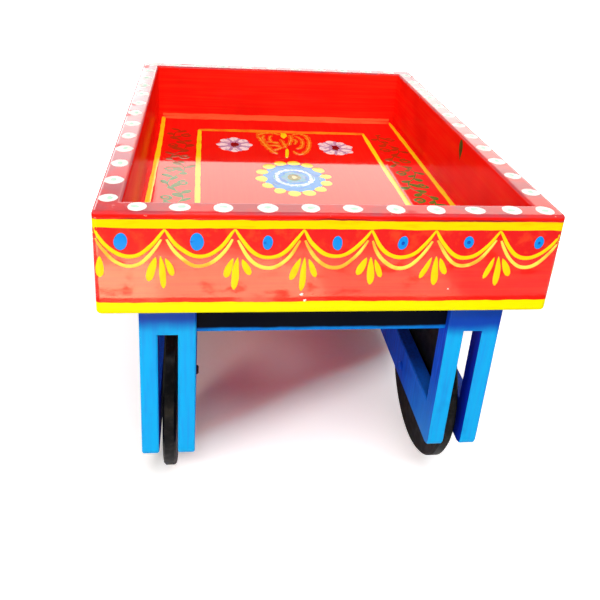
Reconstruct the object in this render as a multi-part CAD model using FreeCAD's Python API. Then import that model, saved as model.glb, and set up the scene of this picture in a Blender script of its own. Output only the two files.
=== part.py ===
import FreeCAD, Part
import math
import os

# A small wooden tray cart. Sizes are in millimetres, +Z is up, and the origin lies on the
# ground under the middle of the tray. X runs across the tray and Y along it.
#
# The tray is an open box of five boards. Under each long side hangs a pair of upright frames,
# and each wheel runs in the slot between the two frames of a pair, on a fixed pin.

V = FreeCAD.Vector

# Tray
TRAY_WIDTH = 200.0
TRAY_LENGTH = 255.0
TRAY_HEIGHT = 48.0
WALL_THICKNESS = 11.0
FLOOR_THICKNESS = 11.0
CORNER_REBATE = 5.0        # how far a side wall reaches into the end walls
FLOOR_LIP_REACH = 4.0      # how far the lip round the floor reaches into the walls
FLOOR_LIP_HEIGHT = 5.0
RIM_ROUNDING = 1.6
CORNER_ROUNDING = 2.5      # upright corners of the tray
FOOT_ROUNDING = 1.6        # lower outer edges of the tray

# Upright frames
TRAY_CLEARANCE = 124.0     # ground to the underside of the tray
FRAME_INSET = 17.0         # side of the tray to the outer frame
END_INSET = 5.5            # end of the tray to the face of a post
BOARD_THICKNESS = 8.0
POST_DEPTH = 11.0
RAIL_HEIGHT = 21.5
RAIL_ABOVE_AXLE = 12.5
FRAME_CORNER_RADIUS = 5.0
EDGE_CHAMFER = 0.6

# Pieces that tie the frames together
TOP_BLOCK_HEIGHT = 14.5
CROSSBAR_HEIGHT = 15.5
CROSSBAR_DEPTH = 7.0

# Wheels and their pins
WHEEL_RADIUS = 48.0
WHEEL_THICKNESS = 6.4
TREAD_CHAMFER = 1.0
HUB_RADIUS = 6.0
HUB_HEIGHT = 1.0           # how far the hub stands out of each side
AXLE_RADIUS = 2.5
WHEEL_FROM_END = 11.5      # end of the tray to the rim of the wheel
AXLE_PROTRUSION = 1.2
AXLE_END_CHAMFER = 0.7

# Fits
RUNNING_CLEARANCE = 0.08   # radial, wheel on pin
GLUE_CLEARANCE = 0.03      # radial, pin in its rails
SIDE_PLAY = 0.3            # hub to frame, each side

# Places worked out from the sizes above
HALF_WIDTH = TRAY_WIDTH / 2
HALF_LENGTH = TRAY_LENGTH / 2
TRAY_TOP = TRAY_CLEARANCE + TRAY_HEIGHT
FLOOR_TOP = TRAY_CLEARANCE + FLOOR_THICKNESS
SLOT = WHEEL_THICKNESS + 2 * (HUB_HEIGHT + SIDE_PLAY)
RAIL_TOP = WHEEL_RADIUS + RAIL_ABOVE_AXLE
RAIL_BOTTOM = RAIL_TOP - RAIL_HEIGHT
POST_FACE = HALF_LENGTH - END_INSET
POST_BACK = POST_FACE - POST_DEPTH
AXLE_PLACE = HALF_LENGTH - WHEEL_FROM_END - WHEEL_RADIUS

# Distance from the middle of the cart to the near face of each frame of a pair
OUTER_FRAME = HALF_WIDTH - FRAME_INSET - BOARD_THICKNESS
INNER_FRAME = OUTER_FRAME - SLOT - BOARD_THICKNESS
SLOT_MIDDLE = OUTER_FRAME - SLOT / 2

SIDES = {"left": -1, "right": 1}
ENDS = {"front": -1, "back": 1}
FRAMES = {"outer": OUTER_FRAME, "inner": INNER_FRAME}


def block(x_low, x_high, y_low, y_high, z_low, z_high):
    """A box between two limits along each axis, given in either order."""
    low = V(min(x_low, x_high), min(y_low, y_high), min(z_low, z_high))
    size = V(abs(x_high - x_low), abs(y_high - y_low), abs(z_high - z_low))
    return Part.makeBox(size.x, size.y, size.z, low)


def edges_between(shape, low, high):
    """Edges of a shape that lie wholly inside the box between two corners."""
    near = 0.001
    room = FreeCAD.BoundBox(low.x - near, low.y - near, low.z - near,
                            high.x + near, high.y + near, high.z + near)
    return [edge for edge in shape.Edges if room.isInside(edge.BoundBox)]


def upright_edges(shape):
    """Straight edges of a shape that run along Z."""
    return [edge for edge in shape.Edges
            if edge.BoundBox.XLength < 0.001 and edge.BoundBox.YLength < 0.001]


# ---- Tray -----------------------------------------------------------------------------------

def tray_ring():
    """The four walls as one ring with its rounded edges, before it is cut into boards."""
    body = block(-HALF_WIDTH, HALF_WIDTH, -HALF_LENGTH, HALF_LENGTH, TRAY_CLEARANCE, TRAY_TOP)
    body = body.makeFillet(CORNER_ROUNDING, upright_edges(body))
    low = V(-HALF_WIDTH, -HALF_LENGTH, TRAY_CLEARANCE)
    foot = edges_between(body, low, V(HALF_WIDTH, HALF_LENGTH, TRAY_CLEARANCE))
    body = body.makeFillet(FOOT_ROUNDING, foot)
    inner_x = HALF_WIDTH - WALL_THICKNESS
    inner_y = HALF_LENGTH - WALL_THICKNESS
    body = body.cut(block(-inner_x, inner_x, -inner_y, inner_y, TRAY_CLEARANCE, TRAY_TOP))
    low = V(-HALF_WIDTH, -HALF_LENGTH, TRAY_TOP)
    rim = edges_between(body, low, V(HALF_WIDTH, HALF_LENGTH, TRAY_TOP))
    return body.makeFillet(RIM_ROUNDING, rim)


def floor_board():
    """The floor, with a lip all round its foot that is let into the walls."""
    inner_x = HALF_WIDTH - WALL_THICKNESS
    inner_y = HALF_LENGTH - WALL_THICKNESS
    reach_x = inner_x + FLOOR_LIP_REACH
    reach_y = inner_y + FLOOR_LIP_REACH
    board = block(-inner_x, inner_x, -inner_y, inner_y, TRAY_CLEARANCE, FLOOR_TOP)
    lip = block(-reach_x, reach_x, -reach_y, reach_y,
                TRAY_CLEARANCE, TRAY_CLEARANCE + FLOOR_LIP_HEIGHT)
    return board.fuse(lip)


def side_wall_space(side):
    """The room a side wall takes up, with its ends let into the end walls."""
    reach_y = HALF_LENGTH - WALL_THICKNESS + CORNER_REBATE
    inner_x = HALF_WIDTH - WALL_THICKNESS
    return block(side * inner_x, side * HALF_WIDTH, -reach_y, reach_y, TRAY_CLEARANCE, TRAY_TOP)


def end_wall_space(end):
    """The room an end wall takes up before the side walls are let into it."""
    inner_y = HALF_LENGTH - WALL_THICKNESS
    return block(-HALF_WIDTH, HALF_WIDTH, end * inner_y, end * HALF_LENGTH,
                 TRAY_CLEARANCE, TRAY_TOP)


def make_tray():
    """The floor and four walls, each a board of its own."""
    ring = tray_ring().cut(floor_board())
    both_sides = side_wall_space(-1).fuse(side_wall_space(1))
    boards = {"tray_floor": floor_board()}
    for name, side in SIDES.items():
        boards["tray_wall_" + name] = ring.common(side_wall_space(side))
    for name, end in ENDS.items():
        boards["tray_wall_" + name] = ring.common(end_wall_space(end)).cut(both_sides)
    return boards


# ---- Upright frames ---------------------------------------------------------------------------

def frame_outline():
    """The U of one frame seen from the side: two posts on a rail with rounded lower corners."""
    radius = FRAME_CORNER_RADIUS
    bend = radius * (1 - math.sqrt(0.5))
    front_mid = V(0, -POST_FACE + bend, RAIL_BOTTOM + bend)
    back_mid = V(0, POST_FACE - bend, RAIL_BOTTOM + bend)
    start = V(0, -POST_FACE, TRAY_CLEARANCE)
    front_low = V(0, -POST_FACE, RAIL_BOTTOM + radius)
    foot_front = V(0, -POST_FACE + radius, RAIL_BOTTOM)
    foot_back = V(0, POST_FACE - radius, RAIL_BOTTOM)
    back_low = V(0, POST_FACE, RAIL_BOTTOM + radius)
    opening = [V(0, POST_FACE, TRAY_CLEARANCE), V(0, POST_BACK, TRAY_CLEARANCE),
               V(0, POST_BACK, RAIL_TOP), V(0, -POST_BACK, RAIL_TOP),
               V(0, -POST_BACK, TRAY_CLEARANCE), start]
    edges = [Part.LineSegment(start, front_low).toShape(),
             Part.Arc(front_low, front_mid, foot_front).toShape(),
             Part.LineSegment(foot_front, foot_back).toShape(),
             Part.Arc(foot_back, back_mid, back_low).toShape(),
             Part.makePolygon([back_low] + opening)]
    return Part.Wire([edge for shape in edges for edge in shape.Edges])


def frame_board(near_face):
    """One frame as a single thickness of wood, from its near face outwards along +X."""
    board = Part.Face(frame_outline()).extrude(V(BOARD_THICKNESS, 0, 0))
    board.translate(V(near_face, 0, 0))
    below_top = TRAY_CLEARANCE - EDGE_CHAMFER
    outline = [edge for edge in board.Edges
               if edge.BoundBox.XLength < 0.001 and edge.BoundBox.ZMin < below_top]
    return board.makeChamfer(EDGE_CHAMFER, outline)


def axle_hole(near_face, end):
    """The hole that one pin passes through in one frame."""
    hole = Part.makeCylinder(AXLE_RADIUS + GLUE_CLEARANCE, BOARD_THICKNESS,
                             V(near_face, end * AXLE_PLACE, WHEEL_RADIUS), V(1, 0, 0))
    return hole


def post_space(near_face, end):
    """The room one post takes up: all of the upright, and half of the lap on the rail."""
    far_face = near_face + BOARD_THICKNESS
    lap_face = near_face + BOARD_THICKNESS / 2
    face, back = end * POST_FACE, end * POST_BACK
    upright = block(near_face, far_face, back, face, RAIL_TOP, TRAY_CLEARANCE)
    lap = block(near_face, lap_face, back, face, RAIL_BOTTOM, RAIL_TOP)
    return upright.fuse(lap)


def make_frames():
    """Posts and rails of the four frames. A post is half-lapped over the end of its rail."""
    pieces = {}
    for frame_name, near_face in FRAMES.items():
        board = frame_board(near_face)
        rail = board
        for end_name, end in ENDS.items():
            space = post_space(near_face, end)
            rail = rail.cut(space).cut(axle_hole(near_face, end))
            for side_name, side in SIDES.items():
                name = "_".join(["post", end_name, side_name, frame_name])
                pieces[name] = on_side(board.common(space), side)
        for side_name, side in SIDES.items():
            pieces["_".join(["rail", side_name, frame_name])] = on_side(rail, side)
    return pieces


def on_side(shape, side):
    """A piece drawn on the right-hand side, or its mirror image for the left."""
    if side > 0:
        return shape.copy()
    return shape.mirror(V(0, 0, 0), V(1, 0, 0))


def make_ties():
    """The blocks between the posts of a pair, and the crossbars between the two pairs."""
    pieces = {}
    for end_name, end in ENDS.items():
        face, back = end * POST_FACE, end * POST_BACK
        low = TRAY_CLEARANCE - TOP_BLOCK_HEIGHT
        top_block = block(INNER_FRAME + BOARD_THICKNESS, OUTER_FRAME, back, face,
                          low, TRAY_CLEARANCE)
        for side_name, side in SIDES.items():
            pieces["_".join(["top_block", end_name, side_name])] = on_side(top_block, side)
        bar_face = end * (POST_BACK + CROSSBAR_DEPTH)
        pieces["crossbar_" + end_name] = block(-INNER_FRAME, INNER_FRAME, back, bar_face,
                                               TRAY_CLEARANCE - CROSSBAR_HEIGHT, TRAY_CLEARANCE)
    return pieces


# ---- Running gear -----------------------------------------------------------------------------

def wheel_profile():
    """Half section of a wheel on its axle line: turned disc, eased tread, raised hubs."""
    bore = AXLE_RADIUS + RUNNING_CLEARANCE
    side = WHEEL_THICKNESS / 2
    hub_face = side + HUB_HEIGHT
    tread = side - TREAD_CHAMFER
    near_half = [V(-hub_face, 0, bore), V(-hub_face, 0, HUB_RADIUS), V(-side, 0, HUB_RADIUS),
                 V(-side, 0, WHEEL_RADIUS - TREAD_CHAMFER), V(-tread, 0, WHEEL_RADIUS)]
    far_half = [V(-point.x, 0, point.z) for point in reversed(near_half)]
    return Part.makePolygon(near_half + far_half + near_half[:1])


def make_wheel(side, end):
    """A wheel turned from one disc, standing on the ground."""
    wheel = Part.Face(wheel_profile()).revolve(V(0, 0, 0), V(1, 0, 0), 360)
    wheel.translate(V(side * SLOT_MIDDLE, end * AXLE_PLACE, WHEEL_RADIUS))
    return wheel


def make_axle(side, end):
    """A round pin through both rails of a pair, with eased ends standing a little proud."""
    length = 2 * (BOARD_THICKNESS + AXLE_PROTRUSION) + SLOT
    start = V(side * SLOT_MIDDLE - length / 2, end * AXLE_PLACE, WHEEL_RADIUS)
    pin = Part.makeCylinder(AXLE_RADIUS, length, start, V(1, 0, 0))
    rims = [edge for edge in pin.Edges if edge.BoundBox.XLength < 0.001]
    return pin.makeChamfer(AXLE_END_CHAMFER, rims)


def make_running_gear():
    """Four wheels and the pin that each one turns on."""
    pieces = {}
    for end_name, end in ENDS.items():
        for side_name, side in SIDES.items():
            place = end_name + "_" + side_name
            pieces["wheel_" + place] = make_wheel(side, end)
            pieces["axle_" + place] = make_axle(side, end)
    return pieces


def main():
    os.makedirs("parts", exist_ok=True)
    pieces = {}
    for group in (make_tray(), make_frames(), make_ties(), make_running_gear()):
        pieces.update(group)
    for name, shape in pieces.items():
        solid = shape.removeSplitter().Solids[0]
        solid.exportStep("parts/" + name + ".step")


main()
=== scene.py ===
"""The painted wooden tray cart: its lacquers, its brushwork, and the stage it stands on."""

import math
import random
from types import SimpleNamespace

import bmesh
import bpy
from bpy.props import FloatProperty, FloatVectorProperty, IntProperty, PointerProperty
from mathutils import Matrix, Vector


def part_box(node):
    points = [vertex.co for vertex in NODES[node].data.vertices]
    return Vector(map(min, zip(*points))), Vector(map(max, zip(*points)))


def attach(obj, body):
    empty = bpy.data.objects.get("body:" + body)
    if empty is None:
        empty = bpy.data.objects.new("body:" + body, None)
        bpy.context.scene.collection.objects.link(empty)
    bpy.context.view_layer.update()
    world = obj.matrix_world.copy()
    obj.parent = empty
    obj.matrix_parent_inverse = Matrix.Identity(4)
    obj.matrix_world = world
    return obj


bl_info = {
    "name": "Painted Wooden Tray Cart",
    "version": (1, 0, 0),
    "blender": (4, 5, 0),
    "location": "View3D > Sidebar > Tray Cart",
    "description": "Lacquers a wooden tray cart and paints its festoons, dots and floor ornaments",
    "category": "Object",
}

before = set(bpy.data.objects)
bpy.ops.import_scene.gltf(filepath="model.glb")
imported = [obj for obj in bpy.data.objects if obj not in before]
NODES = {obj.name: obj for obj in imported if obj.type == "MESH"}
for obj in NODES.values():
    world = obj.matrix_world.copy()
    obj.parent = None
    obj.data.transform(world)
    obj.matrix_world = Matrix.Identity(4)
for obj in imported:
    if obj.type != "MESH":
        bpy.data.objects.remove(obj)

MM = 0.001

WALLS = [f"tray_wall_{side}" for side in ("front", "back", "left", "right")]
WALL_BOXES = [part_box(name) for name in WALLS]
HALF_WIDTH, HALF_LENGTH, RIM = (max(high[i] for _, high in WALL_BOXES) for i in range(3))
TRAY_FOOT = min(low[2] for low, _ in WALL_BOXES)
FLOOR_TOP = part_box("tray_floor")[1][2]
WALL = HALF_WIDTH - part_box("tray_wall_right")[0][0]
SLOT_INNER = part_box("post_front_right_inner")[1][0]
SLOT_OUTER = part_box("post_front_right_outer")[0][0]
WHEEL_LOW, WHEEL_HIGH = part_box("wheel_front_right")
WHEEL_PLACE = -(WHEEL_LOW[1] + WHEEL_HIGH[1]) / 2
WHEEL_CENTRE = (WHEEL_LOW[2] + WHEEL_HIGH[2]) / 2
WHEEL_RADIUS = (WHEEL_HIGH[2] - WHEEL_LOW[2]) / 2

# what the festoons leave free at each end of an outer face
MARGIN = 0.25 * MM
# in millimetres: the stripes' edges, from the rim and from the tray's foot, and half the length of the lines
# across the ends of the floor
UPPER_STRIPE = (-7.1, -3.1)
LOWER_STRIPE = (-5.0, 6.0)
END_LINE = 85.0


# ---------------------------------------------------------------- nodes

def method(operation, swapped=False):
    """A method of a field that does this sum with it and another value."""
    return lambda one, other: calc(operation, *((other, one) if swapped else (one, other)))


class Field:
    """A node's output as a value: the sums and comparisons done on it add nodes to its tree."""
    __add__, __radd__ = method("ADD"), method("ADD", swapped=True)
    __sub__, __rsub__ = method("SUBTRACT"), method("SUBTRACT", swapped=True)
    __mul__, __truediv__ = method("MULTIPLY"), method("DIVIDE")
    __pow__, __mod__ = method("POWER"), method("MODULO")
    __gt__, __lt__ = method("GREATER_THAN"), method("LESS_THAN")

    def __init__(self, socket):
        self.socket, self.tree = socket, socket.id_data
        self.is_vector = socket.type == "VECTOR"

    def __abs__(self):
        return calc("ABSOLUTE", self)

    def __neg__(self):
        return self * -1.0


def add(tree, kind, inputs=None, out=0, **settings):
    """Add a node and give one of its outputs as a field.

    Settings are its own options; an input is a value, a field or, where it takes several, a list of fields.
    """
    node = tree.nodes.new(kind)
    for name, value in settings.items():
        setattr(node, name, value)
    for key, value in (inputs or {}).items():
        for one in value if isinstance(value, list) else [value]:
            if isinstance(one, Field):
                tree.links.new(one.socket, node.inputs[key])
            else:
                node.inputs[key].default_value = one
    return Field(node.outputs[out]) if node.outputs else None


def tree_of(*values):
    """The tree of the first field among these values."""
    return next(value.tree for value in values if isinstance(value, Field))


def calc(operation, *values):
    """The result of a sum, which is a vector where one of its values is."""
    vectors = any(isinstance(value, tuple) or getattr(value, "is_vector", False) for value in values)
    kind = "ShaderNodeVectorMath" if vectors else "ShaderNodeMath"
    return add(tree_of(*values), kind, dict(enumerate(values)), operation=operation)


def vector(x, y, z):
    """A vector put together from its parts."""
    return add(tree_of(x, y, z), "ShaderNodeCombineXYZ", {0: x, 1: y, 2: z})


def parts(tree, kind="ShaderNodeTexCoord", out="Object"):
    """Where the painted point is, or which way its face looks, in its three parts."""
    first = add(tree, "ShaderNodeSeparateXYZ", {0: add(tree, kind, out=out)})
    return [Field(output) for output in first.socket.node.outputs]


def ramp(value, low, high, start=0.0, end=1.0):
    """Value carried from one range to another, smoothly and held at the ends."""
    return add(value.tree, "ShaderNodeMapRange", {
        "Value": value, "From Min": low, "From Max": high, "To Min": start, "To Max": end},
        interpolation_type="SMOOTHSTEP")


def band(value, datum, low, high, soft):
    """1 between low and high, 0 outside, with soft edges, all in millimetres from a datum."""
    low, high, soft = datum + low * MM, datum + high * MM, soft * MM
    return ramp(value, low - soft, low + soft) * ramp(value, high - soft, high + soft, 1.0, 0.0)


def linear(colour):
    """A hex colour, or red, green and blue as written, as the linear values that a shader takes."""
    if isinstance(colour, str):
        colour = [int(colour[i:i + 2], 16) / 255 for i in (1, 3, 5)]
    shares = [c / 12.92 if c <= 0.04045 else ((c + 0.055) / 1.055) ** 2.4 for c in colour[:3]]
    return (*shares, 1.0)


def tint(factor, under, over):
    """One colour laid over another; each is a field, or a colour as written."""
    tree = tree_of(factor, under, over)
    under, over = (c if isinstance(c, Field) else linear(c) for c in (under, over))
    return add(tree, "ShaderNodeMix", {0: factor, 6: under, 7: over}, 2, data_type="RGBA")


# ---------------------------------------------------------------- finishes

def blank(name):
    """A new material with an empty node tree."""
    material = bpy.data.materials.new(name)
    material.use_nodes = True
    material.node_tree.nodes.clear()
    return material, material.node_tree


def grain(tree, stretch=(1, 1, 1), size=10.0, detail=2.0, offset=(0, 0, 0)):
    """Noise on object coordinates, with features of this many millimetres, drawn out along an axis."""
    place = add(tree, "ShaderNodeTexCoord", out="Object")
    mapped = add(tree, "ShaderNodeMapping", {"Vector": place, "Scale": stretch, "Location": offset})
    return add(tree, "ShaderNodeTexNoise", {
        "Vector": mapped, "Scale": 1 / (size * MM), "Detail": detail, "Roughness": 0.55}, "Fac")


def lacquer(material, colour, rough, coat, relief, lift=0.1, blur=0.06, coat_index=1.4, shine=0.08):
    """Brushed gloss paint: the colour, an uneven sheen, a clear coat and the relief of the brush."""
    tree = material.node_tree
    bump = add(tree, "ShaderNodeBump", {"Height": relief, "Strength": 0.35, "Distance": lift * MM})
    shader = add(tree, "ShaderNodeBsdfPrincipled", {
        "Base Color": colour, "Roughness": rough, "Normal": bump, "Coat Normal": bump,
        "Specular IOR Level": shine, "Coat Weight": coat, "Coat Roughness": blur, "Coat IOR": coat_index})
    add(tree, "ShaderNodeOutputMaterial", {"Surface": shader})
    return material


def tray_lacquer(name, colours, striped):
    """Poppy red gloss paint brushed on wood; on the walls the yellow stripes and the duller rim too."""
    material, tree = blank(name)
    streak = grain(tree, (0.03, 0.03, 1.0), 1.6, 3.0) if striped else grain(tree, (1.0, 0.03, 1.0), 1.8, 3.0)
    cloud = grain(tree, size=38.0, offset=(0.4, 0.1, 0.7))
    nib = grain(tree, size=0.9, detail=0.0)
    red = tint(ramp(streak, 0.35, 0.7, 0.0, 1.0 if striped else 0.4), colours.red, colours.thin_red)
    red = tint(ramp(cloud, 0.4, 0.75, 0.0, 0.55), red, colours.deep_red)
    relief = streak * 0.55 + ramp(nib, 0.72, 0.82, 0.0, 0.6) + cloud * 2.0
    rough = ramp(cloud, 0.3, 0.7, 0.34, 0.5)
    if not striped:
        return lacquer(material, red, rough, 1.0, relief, lift=0.04, blur=0.04, coat_index=1.5, shine=0.0)

    x, y, z = parts(tree)
    across, along = abs(x), abs(y)
    # what lies this near to the outer faces is painted as they are
    skin = 4.5 * MM
    outside = calc("MAXIMUM", across > HALF_WIDTH - skin, along > HALF_LENGTH - skin)
    # the hand's slow sway and its small shakes, along every line that is painted level
    sway = grain(tree, (1, 1, 0.2), 24.0) - 0.5
    shake = grain(tree, (1, 1, 0.2), 5.0, 1.0) - 0.5
    level = z + sway * (1.3 * MM) + shake * (0.5 * MM)
    # the rim's top, painted a duller rose red in patches and, below, given less gloss
    rim = ramp(z, RIM - 1.4 * MM, RIM - 0.5 * MM)
    red = tint(rim * ramp(grain(tree, size=14.0), 0.35, 0.65, 0.45, 0.95), red, colours.rim_red)
    # painted shade: a dark red line under the rim's rounded edge, above the upper stripe
    edge = band(level, RIM, UPPER_STRIPE[1] + 0.1, UPPER_STRIPE[1] + 0.9, 0.15)
    edge *= ramp(grain(tree, size=30.0), 0.35, 0.6, 0.1, 0.9)
    red = tint(edge * outside, red, colours.rim_shade_red)
    # the stripes, the lower one greener
    upper, lower = band(level, RIM, *UPPER_STRIPE, 0.12), band(level, TRAY_FOOT, *LOWER_STRIPE, 0.12)
    stripe = calc("MAXIMUM", upper, lower) * outside
    thinness = ramp(grain(tree, (0.15, 0.15, 1), 2.2, 3.0), 0.5, 0.8, 0.0, 0.75)
    yellow = tint(lower * 0.75, tint(thinness, colours.yellow, colours.thin_yellow), colours.lemon)
    red = tint(stripe, red, yellow)
    # the floor's end lines were brushed a little way up the end walls
    foot = band(level, FLOOR_TOP, -2.0, 1.9, 0.3) * (1.0 - outside)
    end_wall = (along > HALF_LENGTH - WALL - 0.2 * MM) * (across < (END_LINE + 1.0) * MM)
    red = tint(foot * end_wall, red, colours.coral)
    # small knocks on the rim's edges, through to the pale wood
    knock = ramp(grain(tree, size=2.6, detail=4.0, offset=(0.2, 0, 0)), 0.69, 0.74)
    red = tint(knock * band(z, RIM, -2.0, -0.25, 0.4), red, colours.bare_wood)
    # the yellow dries flat, the rim has lost some of its shine, and its rounded edges most of it
    dull = calc("MAXIMUM", stripe * 0.95, rim * 0.3)
    dull = calc("MAXIMUM", dull, band(z, RIM, -2.4, -0.12, 0.05) * 0.85)
    # grubby patches and a band by the lower stripe have no gloss
    patches = ramp(grain(tree, (1, 1, 1.6), 13.0, 4.0, (0.3, 0.0, 0.1)), 0.52, 0.68, 0.0, 0.75)
    low = band(level, TRAY_FOOT, 5.0, 8.3, 0.5) * ramp(grain(tree, (1, 1, 0.1), 40.0), 0.36, 0.5, 0.0, 0.8)
    grubby = calc("MAXIMUM", patches, low) * outside
    red = tint(grubby * 0.45 * (1.0 - stripe), red, colours.deep_red)
    # the inner faces are less glossy than the outer ones
    inside = (1.0 - outside) * (1.0 - rim)
    coat = (1.0 - calc("MAXIMUM", dull, grubby)) * (1.0 - inside * 0.82)
    relief += stripe * 1.5
    return lacquer(material, red, rough, coat, relief, blur=0.1, coat_index=1.42, shine=0.0)


def frame_lacquer(name, colours, bar_foot=None, lit_end_faces=True):
    """Blue gloss paint on sawn boards, with painted light: a lit sky blue on the end faces and a shaded,
    deeper blue on the sides.

    On a crossbar, whose foot is given, the tray's shadow is painted: the bar is navy and only its lower edge
    is blue.
    """
    material, tree = blank(name)
    facing = parts(tree, out="Normal")[1]
    x, y, z = parts(tree)
    streak = grain(tree, (1.0, 1.0, 0.06), 1.5, 3.0)
    cloud = grain(tree, size=22.0, offset=(0.1, 0.5, 0.2))
    wander = grain(tree, (1, 1, 0.1), 12.0)
    thinness = ramp(streak, 0.4, 0.72, 0.0, 0.8)
    relief = streak * 0.8 + cloud * 1.6
    rough = ramp(cloud, 0.3, 0.7, 0.4, 0.55)
    # painted shade: the sides are painted in a shaded, deeper blue
    blue = tint(thinness, colours.shaded_side_blue, colours.pooled_and_shadow_blue)
    # painted light: the inner frames' sides are painted lighter towards the feet of the posts
    inner = ramp(abs(x), SLOT_OUTER - 5 * MM, SLOT_INNER + 2 * MM)
    lighter = ramp(abs(y), 62 * MM, 118 * MM) * ramp(z, 95 * MM, 25 * MM) * inner
    blue = tint(lighter, blue, colours.lit_foot_blue)
    # painted shade: the sides inside the slots are painted a dark blue
    slot = band(abs(x), 0.0, SLOT_INNER / MM - 0.4, SLOT_OUTER / MM + 0.4, 0.3)
    blue = tint(slot * 0.8, blue, colours.slot_shade_blue)
    # painted light: faces that look along the boards are painted a lit sky blue
    if lit_end_faces:
        sky = tint(thinness, colours.blue, colours.thin_blue)
        blue = tint(ramp(abs(facing), 0.35, 0.6), blue, sky)
    blue = tint(ramp(cloud, 0.55, 0.85, 0.0, 0.6), blue, colours.pooled_and_shadow_blue)
    if bar_foot is None:
        # painted shadow of the tray: the blue is painted deeper towards the tray, with a wavering edge
        height = z + wander * (3.0 * MM) + ramp(x, -60 * MM, 60 * MM, -2.5 * MM, 2.5 * MM)
        upper = ramp(height, TRAY_FOOT - 14.5 * MM, TRAY_FOOT - 6.0 * MM, 0.0, 0.95)
        blue = tint(upper, blue, colours.pooled_and_shadow_blue)
        return lacquer(material, blue, rough, 0.1, relief, blur=0.15, shine=0.03)
    # painted shadow of the tray: the crossbar is painted navy down to its lower edge
    upper = ramp(z + wander * (1.2 * MM), bar_foot + 1.5 * MM, bar_foot + 2.9 * MM)
    blue = tint(upper, tint(0.55, blue, colours.shaded_side_blue), colours.bar_shadow_navy)
    return lacquer(material, blue, rough, 0.0, relief, blur=0.15, shine=0.02)


def wheel_lacquer(name, colours):
    """Black gloss paint on turned wood, with the turner's rings and a rubbed tread."""
    material, tree = blank(name)
    _, y, z = parts(tree)
    radius = calc("SQRT", (abs(y) - WHEEL_PLACE) ** 2.0 + (z - WHEEL_CENTRE) ** 2.0)
    # rings left by the gouge, close together and uneven
    rings = add(tree, "ShaderNodeTexNoise", {
        "Vector": vector(radius * 1000.0, 0.0, 0.0), "Scale": 0.9, "Detail": 3.0}, "Fac")
    dust = grain(tree, size=9.0, detail=4.0)
    black = tint(ramp(dust, 0.45, 0.75, 0.0, 0.8), colours.black, colours.dusty_black)
    worn = ramp(radius, WHEEL_RADIUS - 1.6 * MM, WHEEL_RADIUS - 0.2 * MM)
    worn *= ramp(grain(tree, size=3.0, detail=4.0), 0.45, 0.7, 0.1, 0.8)
    black = tint(worn, black, colours.worn_black)
    rough = ramp(dust, 0.35, 0.7, 0.35, 0.55)
    return lacquer(material, black, rough, 0.12, rings * 0.9 + dust * 0.5, blur=0.22, shine=0.04)


def pin_finish(name, colours):
    """Dark stained dowel, its end grain a little lighter, wiped with oil."""
    material, tree = blank(name)
    pores = grain(tree, (0.1, 1, 1), 0.7, 3.0)
    brown = tint(ramp(pores, 0.4, 0.65), colours.pin, colours.pin_grain)
    return lacquer(material, brown, ramp(pores, 0.3, 0.7, 0.4, 0.6), 0.2, pores, lift=0.06)


def enamel(name, colour, thin, size, cover, amount, varnished=False, faded=None):
    """Hobby enamel laid with a small brush: thicker and thinner; on the floor it lies under varnish.

    Towards the back of the tray it may have sunk into the red, to a faded colour.
    """
    material, tree = blank(name)
    load = grain(tree, size=size, detail=3.0, offset=(0.3, 0.6, 0.9))
    paint = tint(ramp(load, *cover, 0.0, amount), colour, thin)
    if faded:
        back = parts(tree)[1]
        paint = tint(ramp(back, -5 * MM, 45 * MM, 0.0, 0.85), paint, faded)
    ridges = grain(tree, size=0.7, detail=2.0)
    coat, blur, index, shine = (1.0, 0.05, 1.5, 0.0) if varnished else (0.08, 0.2, 1.4, 0.05)
    rough = ramp(load, 0.3, 0.7, 0.45, 0.6)
    return lacquer(material, paint, rough, coat, ridges, lift=0.06, blur=blur, coat_index=index, shine=shine)


# ---------------------------------------------------------------- brushwork from given points

def heading(points, i, closed=False):
    """The way a row of points runs at one of them, as a unit step across and along."""
    if closed:
        before, after = points[i - 1], points[(i + 1) % len(points)]
    else:
        before, after = points[max(i - 1, 0)], points[min(i + 1, len(points) - 1)]
    run, rise = after[0] - before[0], after[1] - before[1]
    length = math.hypot(run, rise) or 1.0
    return run / length, rise / length


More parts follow.
